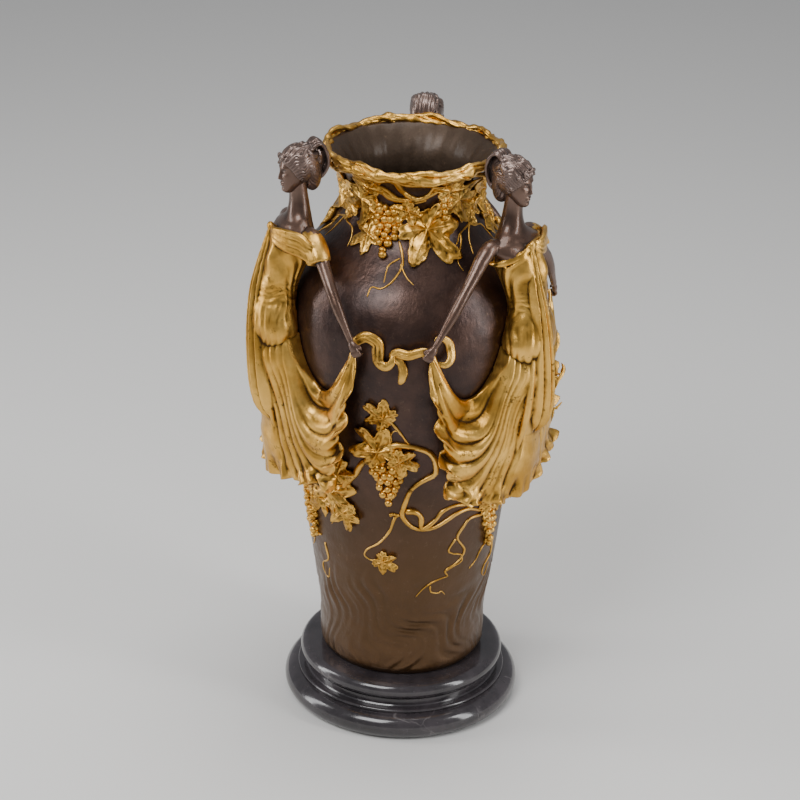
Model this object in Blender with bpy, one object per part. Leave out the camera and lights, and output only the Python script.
"""Bronze baluster vase with three draped maidens, on a turned marble plinth.

Metres, +Z up. The origin is the centre of the plinth's underside. The three maidens stand 120 degrees
apart around the vase, and -Y is the middle of the vine panel between two of them. Every maiden is the
same casting, drawn once in a frame of her own (out from the vase, to her left, and up from a line a
little under her hem) and turned to her place. Angles on the vase are in degrees from the middle of a
maiden or of a vine panel.
"""

import math
from bisect import bisect_right

import bmesh
import bpy
from mathutils import Matrix, Vector

# Plinth
PLINTH_RADIUS = 0.0884
PLINTH_TOP_RADIUS = 0.0764
PLINTH_HEIGHT = 0.0398
PLINTH_TORUS_HEIGHT = 0.0185
PLINTH_GROOVE_DEPTH = 0.0042
PLINTH_EDGE_ROUND = 0.0030

# Vase, heights measured from its own foot
VASE_HEIGHT = 0.3905
FOOT_RADIUS = 0.0610
FOOT_ROUND = 0.0060
FOOT_STRAIGHT = 0.0300
BELLY_RADIUS = 0.0925
BELLY_HEIGHT = 0.2620
NECK_RADIUS = 0.0465
NECK_HEIGHT = 0.3580
MOUTH_RADIUS = 0.0610
WALL = 0.0045
FLOOR = 0.0080
SEGMENTS = 36

# Relief cast on the vase
ROPE_RADIUS = 0.0024
STEM_RADIUS = 0.0021
LEAF_THICKNESS = 0.0036
LEAF_SEGMENTS = 15
BERRY_RADIUS = 0.0034

# Maidens
MAIDENS = (("left_maiden", 210.0), ("right_maiden", 330.0), ("back_maiden", 90.0))
MAIDEN_HEIGHT = 0.2770
DRAWING_HEIGHT = 0.1330
FIT_GAP = 0.0003
SEAT_GAP = 0.0005

# One millimetre of the maiden's drawing, in metres. She is drawn 277 mm tall.
DRAWN = MAIDEN_HEIGHT / 277.0
PANELS = (270.0, 30.0, 150.0)
FOOT_Z = PLINTH_HEIGHT + FIT_GAP
DRAWING_Z = FOOT_Z + DRAWING_HEIGHT

BRONZE = ("bronze", (0.085, 0.048, 0.030), 0.38, 0.85)
MAIDEN_GILT = ("gilt_bronze", (0.62, 0.36, 0.09), 0.36, 0.95)
MARBLE = ("dark_marble", (0.030, 0.026, 0.030), 0.16, 0.0)


def smooth_curve(points, x):
    """Height of a smooth curve through points with rising x, which never overshoots them."""
    xs = [point[0] for point in points]
    ys = [point[1] for point in points]
    if x <= xs[0]:
        return ys[0]
    if x >= xs[-1]:
        return ys[-1]
    slopes = [(ys[i + 1] - ys[i]) / (xs[i + 1] - xs[i]) for i in range(len(xs) - 1)]
    i = bisect_right(xs, x) - 1

    def tangent(k):
        if k == 0 or k == len(xs) - 1:
            return slopes[0 if k == 0 else -1]
        before, after = slopes[k - 1], slopes[k]
        if before * after <= 0.0:
            return 0.0
        return 2.0 * before * after / (before + after)

    width = xs[i + 1] - xs[i]
    t = (x - xs[i]) / width
    rise = ys[i] * (1.0 + 2.0 * t) * (1.0 - t) ** 2 + ys[i + 1] * t * t * (3.0 - 2.0 * t)
    return rise + width * (tangent(i) * t * (1.0 - t) ** 2 - tangent(i + 1) * t * t * (1.0 - t))


# The vase's outline between its named sizes, as shares of the way from one to the next
FLANK = ((0.26, 0.26), (0.56, 0.52), (0.73, 0.71), (0.88, 0.90))
SHOULDER = ((0.19, 0.01), (0.38, 0.11), (0.53, 0.29), (0.68, 0.58), (0.82, 0.84))
FLARE = ((0.50, 0.17), (0.80, 0.59))


def between(start, end, shares):
    """Outline points between two (height, radius) points."""
    return [(start[0] + (end[0] - start[0]) * a, start[1] + (end[1] - start[1]) * b) for a, b in shares]


def vase_outline():
    """The vase's outer outline as (height over its foot, radius)."""
    round_end = (FOOT_ROUND, FOOT_RADIUS)
    flank_start = (FOOT_STRAIGHT, FOOT_RADIUS + 0.08 * FOOT_ROUND)
    belly = (BELLY_HEIGHT, BELLY_RADIUS)
    neck = (NECK_HEIGHT, NECK_RADIUS)
    mouth = (VASE_HEIGHT, MOUTH_RADIUS)
    points = [(0.0, FOOT_RADIUS - 0.6 * FOOT_ROUND), round_end, flank_start]
    points += between(flank_start, belly, FLANK) + [belly]
    points += between(belly, neck, SHOULDER) + [neck]
    return points + between(neck, mouth, FLARE) + [mouth]


OUTLINE = vase_outline()


def vase_radius(z):
    """Outer radius of the vase at a height over the floor."""
    return smooth_curve(OUTLINE, z - FOOT_Z)


def polar(azimuth, radius, z):
    """Point at an azimuth in degrees, a radius and a height."""
    angle = math.radians(azimuth)
    return Vector((radius * math.cos(angle), radius * math.sin(angle), z))


def new_object(name, bm):
    """Object from a bmesh, with its faces turned outward."""
    bmesh.ops.recalc_face_normals(bm, faces=bm.faces)
    mesh = bpy.data.meshes.new(name)
    bm.to_mesh(mesh)
    bm.free()
    item = bpy.data.objects.new(name, mesh)
    bpy.context.scene.collection.objects.link(item)
    return item


def lathe(name, outline, segments=SEGMENTS):
    """Closed turned body from an outline of (radius, height) that starts and ends on the axis."""
    bm = bmesh.new()
    verts = [bm.verts.new((radius, 0.0, height)) for radius, height in outline]
    for lower, upper in zip(verts, verts[1:]):
        bm.edges.new((lower, upper))
    bmesh.ops.spin(bm, geom=bm.verts[:] + bm.edges[:], cent=(0, 0, 0), axis=(0, 0, 1),
                   angle=math.tau, steps=segments, use_merge=True)
    bmesh.ops.remove_doubles(bm, verts=bm.verts, dist=0.00002)
    return new_object(name, bm)


def loft(name, rings):
    """Closed body through rings of points that all have the same count."""
    bm = bmesh.new()
    rows = [[bm.verts.new(point) for point in ring] for ring in rings]
    for lower, upper in zip(rows, rows[1:]):
        for i in range(len(lower)):
            j = (i + 1) % len(lower)
            bm.faces.new((lower[i], lower[j], upper[j], upper[i]))
    bm.faces.new(rows[0])
    bm.faces.new(rows[-1])
    return new_object(name, bm)


def combine(base, others, operation="UNION", kept=1.0):
    """Fuse other bodies with the base, or cut them from it, and keep a share of the triangles."""
    for other in others:
        boolean = base.modifiers.new(other.name, "BOOLEAN")
        boolean.operation = operation
        boolean.solver = "EXACT"
        boolean.object = other
    if kept < 1.0:
        base.modifiers.new("fewer_faces", "DECIMATE").ratio = kept
    depsgraph = bpy.context.evaluated_depsgraph_get()
    plain = base.data
    base.data = bpy.data.meshes.new_from_object(base.evaluated_get(depsgraph))
    base.modifiers.clear()
    bpy.data.meshes.remove(plain)
    for other in others:
        bpy.data.meshes.remove(other.data)
    return base


def finish(item, finish_values, smooth_angle=35.0):
    """Give a sub-part its material and its smooth shading."""
    name, colour, roughness, metallic = finish_values
    material = bpy.data.materials.get(name) or bpy.data.materials.new(name)
    material.use_nodes = True
    shader = material.node_tree.nodes["Principled BSDF"]
    shader.inputs["Base Color"].default_value = (*colour, 1.0)
    shader.inputs["Roughness"].default_value = roughness
    shader.inputs["Metallic"].default_value = metallic
    item.data.materials.clear()
    item.data.materials.append(material)
    item.data.shade_smooth()
    item.data.set_sharp_from_angle(angle=math.radians(smooth_angle))


def arc(centre_radius, centre_height, half_width, half_height, start, end, steps):
    """Elliptical stretch of an outline, between two angles in degrees."""
    points = []
    for i in range(steps + 1):
        angle = math.radians(start + (end - start) * i / steps)
        points.append((centre_radius + half_width * math.cos(angle),
                       centre_height + half_height * math.sin(angle)))
    return points


def make_plinth():
    """Turned marble plinth: a large torus, a fillet, a groove and a disc with rounded edges."""
    torus = PLINTH_TORUS_HEIGHT / 2.0
    fillet_top = PLINTH_TORUS_HEIGHT + PLINTH_EDGE_ROUND
    disc_bottom = fillet_top + 2.0 * PLINTH_EDGE_ROUND
    disc = (PLINTH_HEIGHT - disc_bottom) / 2.0
    groove_radius = PLINTH_TOP_RADIUS - PLINTH_GROOVE_DEPTH
    outline = [(0.0, 0.0)]
    outline += arc(PLINTH_RADIUS - torus, torus, torus, torus, -72.0, 70.0, 6)
    outline += [(PLINTH_TOP_RADIUS + PLINTH_EDGE_ROUND, PLINTH_TORUS_HEIGHT),
                (PLINTH_TOP_RADIUS + 0.5 * PLINTH_EDGE_ROUND, fillet_top - 0.3 * PLINTH_EDGE_ROUND),
                (groove_radius, fillet_top),
                (groove_radius, disc_bottom)]
    outline += arc(PLINTH_TOP_RADIUS - disc, disc_bottom + disc, disc, disc, -60.0, 90.0, 5)
    outline += [(0.0, PLINTH_HEIGHT)]
    outline[1] = (outline[1][0], 0.0)
    return lathe("marble_plinth", outline)


def make_vase_body():
    """Hollow turned vase, open at the mouth, its rim a vine laid in slow waves."""
    outer = [(vase_radius(FOOT_Z + height), FOOT_Z + height) for height, _ in OUTLINE]
    inner_heights = [height for height, _ in OUTLINE[3::2] if height < VASE_HEIGHT]
    inner = [(vase_radius(FOOT_Z + height) - WALL, FOOT_Z + height) for height in reversed(inner_heights)]
    mouth_z = FOOT_Z + VASE_HEIGHT
    rim = [(MOUTH_RADIUS + ROPE_RADIUS, mouth_z + ROPE_RADIUS), (MOUTH_RADIUS, mouth_z + 2.5 * ROPE_RADIUS),
           (MOUTH_RADIUS - ROPE_RADIUS, mouth_z + 2.5 * ROPE_RADIUS), (MOUTH_RADIUS - WALL, mouth_z)]
    floor_z = FOOT_Z + FLOOR
    floor_ring = [(FOOT_RADIUS - WALL, floor_z + WALL), (FOOT_RADIUS - 3.0 * WALL, floor_z), (0.0, floor_z)]
    vase = lathe("vase", [(0.0, FOOT_Z)] + outer + rim + inner + floor_ring)
    for vert in vase.data.vertices:
        if vert.co.z > mouth_z:
            azimuth = math.atan2(vert.co.y, vert.co.x) - math.radians(PANELS[0])
            vert.co.z += 0.5 * ROPE_RADIUS * (math.cos(6.0 * azimuth) + math.cos(3.0 * azimuth))
            widen = 1.0 + 0.3 * ROPE_RADIUS / MOUTH_RADIUS * (math.cos(3.0 * azimuth) - 1.0)
            vert.co.x *= widen
            vert.co.y *= widen
    return vase


def path_points(points, count):
    """Points read evenly from a smooth curve through the given ones."""
    vectors = [Vector(point) for point in points]
    padded = [2 * vectors[0] - vectors[1]] + vectors + [2 * vectors[-1] - vectors[-2]]
    result = []
    for i in range(count):
        place = (len(vectors) - 1) * i / (count - 1)
        k = min(int(place), len(vectors) - 2)
        t = place - k
        a, b, c, d = padded[k:k + 4]
        result.append(0.5 * ((2 * b) + (c - a) * t + (2 * a - 5 * b + 4 * c - d) * t * t
                             + (3 * b - a - 3 * c + d) * t ** 3))
    return result


def sweep(name, centres, radii, sides=4, flatten=1.0):
    """Closed round rod along points, with a radius at each, flattened toward the vase's axis."""
    rings = []
    for i, centre in enumerate(centres):
        ahead = centres[min(i + 1, len(centres) - 1)] - centres[max(i - 1, 0)]
        along = ahead.normalized()
        outward = Vector((centre.x, centre.y, 0.0)).normalized()
        across = along.cross(outward).normalized()
        outward = across.cross(along).normalized()
        ring = []
        for k in range(sides):
            angle = math.tau * k / sides
            ring.append(centre + radii[i] * (math.cos(angle) * across + flatten * math.sin(angle) * outward))
        rings.append(ring)
    return loft(name, rings)


def on_vase(azimuth, z, lift):
    """Point on the vase, lifted off it by a distance."""
    return polar(azimuth, vase_radius(z) + lift, z)


def stem(name, panel, route, radius, count):
    """Vine stem on the vase along (angle, height over the foot) points, thinner at its tip."""
    places = path_points([(angle, height, 0.0) for angle, height in route], count)
    centres = [on_vase(panel + place.x, FOOT_Z + place.y * 0.001, 0.2 * radius) for place in places]
    radii = [radius * (1.0 - 0.5 * i / (count - 1)) for i in range(count)]
    return sweep(name, centres, radii)


def leaf(name, panel, angle, height, size, turn):
    """Vine leaf with five lobes, domed, lying on the vase. Its tip points along turn."""
    bm = bmesh.new()
    z = FOOT_Z + height * 0.001
    centre_radius = vase_radius(z)
    rims = []
    for lift in (LEAF_THICKNESS, -LEAF_THICKNESS):
        rim = []
        for i in range(LEAF_SEGMENTS):
            around = math.tau * i / LEAF_SEGMENTS
            reach = size * (0.82 + 0.18 * math.cos(5.0 * around)) * (1.0 + 0.15 * math.cos(around))
            direction = math.radians(turn) + around
            step_up = reach * math.sin(direction)
            step_angle = math.degrees(reach * math.cos(direction) / centre_radius)
            rim.append(bm.verts.new(on_vase(panel + angle + step_angle, z + step_up, 0.6 * lift)))
        rims.append((rim, bm.verts.new(on_vase(panel + angle, z, lift * 1.5))))
    for rim, middle in rims:
        for i in range(LEAF_SEGMENTS):
            bm.faces.new((rim[i], rim[(i + 1) % LEAF_SEGMENTS], middle))
    front, back = rims[0][0], rims[1][0]
    for i in range(LEAF_SEGMENTS):
        j = (i + 1) % LEAF_SEGMENTS
        bm.faces.new((front[i], front[j], back[j], back[i]))
    return new_object(name, bm)


def grapes(name, panel, angle, height, rows):
    """Hanging bunch of grapes: rows of berries from the widest to the tip."""
    berries = []
    pitch = 2.08 * BERRY_RADIUS
    for row, count in enumerate(rows):
        z = FOOT_Z + height * 0.001 - row * 0.9 * pitch
        for k in range(count):
            side = (k - 0.5 * (count - 1)) * pitch
            place = on_vase(panel + angle + math.degrees(side / vase_radius(z)), z, 0.45 * BERRY_RADIUS)
            bm = bmesh.new()
            bmesh.ops.create_icosphere(bm, subdivisions=1, radius=BERRY_RADIUS, matrix=Matrix.Translation(place))
            berries.append(new_object(f"{name}_{row}_{k}", bm))
    return berries


# Vine routes and leaves of one panel: angle from its middle in degrees, height over the foot in mm
NECK_STEM = ((-25, 386), (-15, 375), (2, 371), (16, 374), (26, 384))
MAIN_STEM = ((-24, 160), (-16, 183), (-3, 199), (12, 199), (20, 187), (14, 170), (5, 150), (10, 133),
             (22, 131), (38, 140))
LOW_STEM = ((36, 131), (38, 117), (43, 104), (36, 94), (26, 84), (16, 72))
DROP_STEM = ((4, 143), (-3, 126), (-14, 112), (-16, 104))
NECK_TENDRIL = ((-3, 343), (0, 332), (-4, 320), (-11, 315))
LEAVES = (
    ("neck_leaf_left", -33, 366, 0.0120, 200), ("neck_leaf_right", 19, 350, 0.0180, 290),
    ("neck_leaf_far", 38, 372, 0.0105, 330), ("upper_leaf", -5, 225, 0.0095, 140),
    ("middle_leaf", -9, 195, 0.0120, 120), ("side_leaf", -36, 127, 0.0105, 300),
    ("low_leaf", -7, 102, 0.0075, 300),
)
NECK_GRAPES = (-9, 361, (3, 2, 1))
MIDDLE_GRAPES = (-2, 182, (3, 2, 1))


def make_vase():
    """Vase with its cast vines: three alike panels of stems, leaves and grapes."""
    vase = make_vase_body()
    relief = []
    for panel in PANELS:
        relief.append(stem("neck_stem", panel, NECK_STEM, STEM_RADIUS, 6))
        relief.append(stem("main_stem", panel, MAIN_STEM, STEM_RADIUS, 14))
        relief.append(stem("low_stem", panel, LOW_STEM, 0.7 * STEM_RADIUS, 6))
        relief.append(stem("drop_stem", panel, DROP_STEM, 0.7 * STEM_RADIUS, 4))
        relief.append(stem("neck_tendril", panel, NECK_TENDRIL, 0.7 * STEM_RADIUS, 4))
        relief += [leaf(name, panel, *values) for name, *values in LEAVES]
        relief += grapes("neck_grapes", panel, *NECK_GRAPES)
        relief += grapes("middle_grapes", panel, *MIDDLE_GRAPES)
    return combine(vase, relief, kept=0.45)


# The maiden, in drawing millimetres. out is measured from the vase's widest radius, side to her left,
# and up from the drawing's base line, a little under her hem.
def place(out, side, up):
    """Point in the maiden's frame."""
    return Vector((BELLY_RADIUS + out * DRAWN, side * DRAWN, DRAWING_Z + up * DRAWN))


def oval(out, side, up, half_depth, half_width, count, ripple=0.0, lean=0.0):
    """Level oval ring, rippled at every other point, and leaning down toward the front."""
    ring = []
    for k in range(count):
        angle = math.tau * k / count
        grow = ripple if k % 2 else -ripple
        step_out = (half_depth + grow) * math.cos(angle)
        ring.append(place(out + step_out, side + (half_width + grow) * math.sin(angle), up - lean * step_out))
    return ring


# Torso stations: up, middle out, half depth, half width
TORSO = ((118, 9, 18, 22), (139, 10.5, 17.5, 22), (155, 11, 15.5, 18), (170, 9, 13.5, 15), (182, 6, 14.5, 16),
         (194, 1.5, 17, 19), (204, -1.5, 15.5, 21.5), (213, -4, 12.5, 24), (218, -6.5, 9, 15),
         (224, -7.4, 6.8, 8.4), (250, -5, 6, 6))
# Arm stations: out, side, up, radius
ARM = ((-8, 20, 211, 6.2), (-9, 29, 208, 6.4), (-9.5, 37, 199, 5.4), (-10, 45, 189, 4.8), (-10.5, 52, 181, 4.5),
       (-12.5, 60, 169, 4.2), (-16, 69.5, 154, 3.2), (-18, 73, 148, 3.4), (-20, 76, 143, 2.6))
# Head stations from the head's middle: up, middle out, half depth, half width
HEAD_PLACE = (-6, 0, 258.5)
HEAD = ((-15.5, 6.5, 3, 3), (-12, 4.5, 7, 5.5), (-7, 2.5, 10, 8.4), (-1, 1, 11.6, 9.8), (6, 0, 12.2, 10.2),
        (12, -1, 9.5, 8.5), (15, -1.5, 5, 5))
NOSE_REACH = (0.6, 0.4, 1.2, 1.6, 0.2, 0.0, 0.0)
HAIR = ((-8, -7.5, 4, 7), (-4, -6, 8, 10.6), (2, -4.5, 11, 11.9), (8, -3, 13, 12.2), (13, -2.5, 11.5, 10.5),
        (17.5, -3.5, 5, 5))
BUN = ((-8, -15.5, 3, 3.5), (-4, -16, 5.5, 6.5), (1, -16.5, 7, 7.5), (6, -16, 6, 7), (10, -15, 3, 3.5))
# Off-shoulder sleeve over her left arm: out, side, up, radius
SLEEVE = ((-7, 16, 207, 7), (-8, 22, 209, 9), (-8.5, 28.5, 207, 9.6), (-8.8, 34, 201, 9), (-9, 37, 196.5, 7))
# Folds that fall from the knot at the neckline down the front: out, side, up, radius
FRONT_FOLDS = ((8.7, -4, 214, 3.2), (12.5, -3, 200, 5.5), (16.5, -2, 185, 7.5), (20.5, -0.5, 165, 8.8),
               (21, 0, 140, 9.8), (20, 0.5, 110, 10.6), (18, 1, 85, 10.8), (9, 1.5, 60, 9))

# Cloth: where it hangs from the hips and the hands, in degrees and drawing millimetres
HIP_ANGLE = 13.0
HAND_ANGLE = 44.0
SWAG_SAG = 39.0
SIDE_EDGE = ((31, 40), (34, 66), (36, 82), (40.5, 99), (42, 117), (44, 143))
RIGHT_HEM = ((-27, 30), (-19, 24), (-10, 22), (0, 23))
LEFT_HEM = ((8, 26), (16, 30), (23, 34), (28, 37))
HEM_LINE = tuple((-angle, up) for angle, up in reversed(SIDE_EDGE)) + RIGHT_HEM + LEFT_HEM + SIDE_EDGE
BULK = ((0, 8), (17, 17), (31, 24), (52, 25), (68, 22), (78, 26), (91, 28), (118, 25), (134, 15))
# The cloth starts at the end of the hips' bulk, and at the hands' own station on the arms
HIP_UP = BULK[-1][0]
HAND_UP = ARM[-2][2]
SHEET = 4.5
BULK_WIDTH = ((0, 24), (27, 33), (47, 33), (77, 30), (107, 27), (139, 25))
# Distance of the cloth's free side edges from the vase's axis, over the height above the hem
EDGE_RADIUS = ((0, 101), (14, 105), (25, 108), (64, 111), (92, 110), (117, 108), (147, 104))


def swag_depth(angle, up):
    """Sag of the hanging curve, from hip to hand, that runs through a point."""
    t = (abs(angle) - HIP_ANGLE) / (HAND_ANGLE - HIP_ANGLE)
    t = min(max(t, 0.06), 0.94)
    line = HIP_UP + (HAND_UP - HIP_UP) * t
    return (line - up) / (4.0 * t * (1.0 - t))


def cloth_top(angle):
    """Upper edge of the cloth: level across the hips, then hanging from hip to hand."""
    if abs(angle) <= HIP_ANGLE:
        return HIP_UP
    t = (abs(angle) - HIP_ANGLE) / (HAND_ANGLE - HIP_ANGLE)
    return HIP_UP + (HAND_UP - HIP_UP) * t - 4.0 * SWAG_SAG * t * (1.0 - t)


def cloth_depth(angle, up):
    """Thickness of the drapery off the vase, in drawing millimetres."""
    side = math.radians(angle) * BELLY_RADIUS / DRAWN
    inside = max(0.0, 1.0 - (side / smooth_curve(BULK_WIDTH, up)) ** 2)
    bulk = smooth_curve(BULK, up) * inside ** 0.75
    folded = min(1.0, max(0.0, (abs(angle) - 8.0) / 8.0))
    sag = max(0.0, swag_depth(angle, up) - SWAG_SAG)
    swag = 1.8 * folded * math.cos(math.tau * 2.2 * math.log1p(sag / 30.0))
    leg = 1.6 * (1.0 - folded) * math.cos(math.tau * (side - 0.1 * up) / 13.0)
    edge = min(1.0, max(0.0, (abs(angle) - 20.0) / 16.0))
    low = min(1.0, max(0.0, (sag - 4.0) / 22.0)) * folded
    hang = smooth_curve(EDGE_RADIUS, up) - vase_radius(DRAWING_Z + up * DRAWN) / DRAWN
    ruffle = 2.2 * edge * math.sin(up * 0.30)
    rest = SHEET + (hang - SHEET) * max(edge, 0.7 * low)
    return max(bulk + 0.7 * SHEET, rest) + swag + leg + ruffle


def make_cloth():
    """Skirt and swags, as one closed body that reaches a little inside the vase."""
    columns, rows = 27, 12
    root = -4.0 * DRAWN
    bm = bmesh.new()
    faces, hems, tops = [], [], []
    for i in range(columns + 1):
        angle = HAND_ANGLE * (2.0 * i / columns - 1.0)
        low, high = smooth_curve(HEM_LINE, angle), cloth_top(angle)
        column = []
        for j in range(rows + 1):
            up = low + (high - low) * j / rows
            z = DRAWING_Z + up * DRAWN
            column.append(bm.verts.new(on_vase(angle, z, cloth_depth(angle, up) * DRAWN)))
        faces.append(column)
        hems.append(bm.verts.new(on_vase(angle, DRAWING_Z + low * DRAWN, root)))
        tops.append(bm.verts.new(on_vase(angle, DRAWING_Z + high * DRAWN, root)))
    for i in range(columns):
        left, right = faces[i], faces[i + 1]
        for j in range(rows):
            bm.faces.new((left[j], right[j], right[j + 1], left[j + 1]))
        bm.faces.new((left[0], hems[i], hems[i + 1], right[0]))
        bm.faces.new((left[-1], right[-1], tops[i + 1], tops[i]))
        bm.faces.new((hems[i], tops[i], tops[i + 1], hems[i + 1]))
    bm.faces.new(faces[0] + [tops[0], hems[0]])
    bm.faces.new(faces[-1] + [tops[-1], hems[-1]])
    return new_object("cloth", bm)


def make_arm(hand):
    """One arm to the fist, on the side given by the sign of hand."""
    centres = [place(out, hand * side, up) for out, side, up, _ in ARM]
    return sweep("arm", centres, [radius * DRAWN for *_, radius in ARM], sides=7)


def make_front_folds():
    """Bundle of folds that hangs from the neckline down the front."""
    centres = [place(*spot) for *spot, _ in FRONT_FOLDS]
    return sweep("front_folds", centres, [radius * DRAWN for *_, radius in FRONT_FOLDS], 7)


def make_scroll(name, route):
    """Loose end of the cloth beyond a hand, curling on the vase, as (angle, up) points."""
    places = path_points([(angle, up, 0.0) for angle, up in route], 9)
    centres = [on_vase(spot.x, DRAWING_Z + spot.y * DRAWN, 5.0 * DRAWN) for spot in places]
    radii = [DRAWN * (3.6 - 1.6 * i / 8) for i in range(9)]
    return sweep(name, centres, radii, flatten=0.8)


LEFT_SCROLL = ((42, 146), (47, 153), (51, 154), (53, 146), (55, 138), (58, 137), (59.2, 143))
RIGHT_SCROLL = ((-42, 140), (-46, 144), (-51, 144), (-56.5, 143), (-57.5, 137), (-55, 130))


def make_clearance():
    """Turned cutter that keeps a maiden clear of the vase and its rim."""
    outline = [(0.0, FOOT_Z)]
    outline += [(radius + SEAT_GAP, FOOT_Z + height) for height, radius in OUTLINE]
    rim = MOUTH_RADIUS + ROPE_RADIUS + SEAT_GAP
    rim_top = FOOT_Z + VASE_HEIGHT + 4.0 * ROPE_RADIUS
    outline += [(rim, FOOT_Z + VASE_HEIGHT), (rim, rim_top), (0.0, rim_top)]
    return lathe("clearance", outline)


def head_ring(station, count, ripple=0.0, nose=0.0):
    """Ring of the head or hair, leaning so that the face looks a little down."""
    up, out, half_depth, half_width = station
    ring = oval(HEAD_PLACE[0] + out, HEAD_PLACE[1], HEAD_PLACE[2] + up, half_depth, half_width, count, ripple, 0.18)
    ring[0] += Vector((nose * DRAWN, 0.0, 0.0))
    return ring


def make_maiden():
    """One maiden at azimuth 0, in one body, cut clear of the vase."""
    cloth = make_cloth()
    torso = loft("torso", [oval(out, 0, up, depth, width, 12) for up, out, depth, width in TORSO])
    sleeve = sweep("sleeve", [place(*spot) for *spot, _ in SLEEVE], [radius * DRAWN for *_, radius in SLEEVE], 7)
    head = loft("head", [head_ring(station, 10, 0.0, nose) for station, nose in zip(HEAD, NOSE_REACH)])
    hair = loft("hair", [head_ring(station, 14, 0.4) for station in HAIR])
    bun = loft("bun", [head_ring(station, 8, 0.4) for station in BUN])
    arms = [make_arm(1.0), make_arm(-1.0)]
    scrolls = [make_scroll("left_scroll", LEFT_SCROLL), make_scroll("right_scroll", RIGHT_SCROLL)]
    maiden = combine(cloth, [torso, make_front_folds(), sleeve] + arms + scrolls, kept=0.52)
    maiden = combine(maiden, [head, hair, bun])
    return combine(maiden, [make_clearance()], "DIFFERENCE")


def build():
    """Model the whole part."""
    for item in list(bpy.data.objects):
        bpy.data.objects.remove(item)
    plinth = make_plinth()
    finish(plinth, MARBLE)
    vase = make_vase()
    finish(vase, BRONZE)
    casting = make_maiden()
    finish(casting, MAIDEN_GILT)
    for name, azimuth in MAIDENS:
        maiden = bpy.data.objects.new(name, casting.data)
        maiden.rotation_euler.z = math.radians(azimuth)
        bpy.context.scene.collection.objects.link(maiden)
    bpy.data.objects.remove(casting)


build()
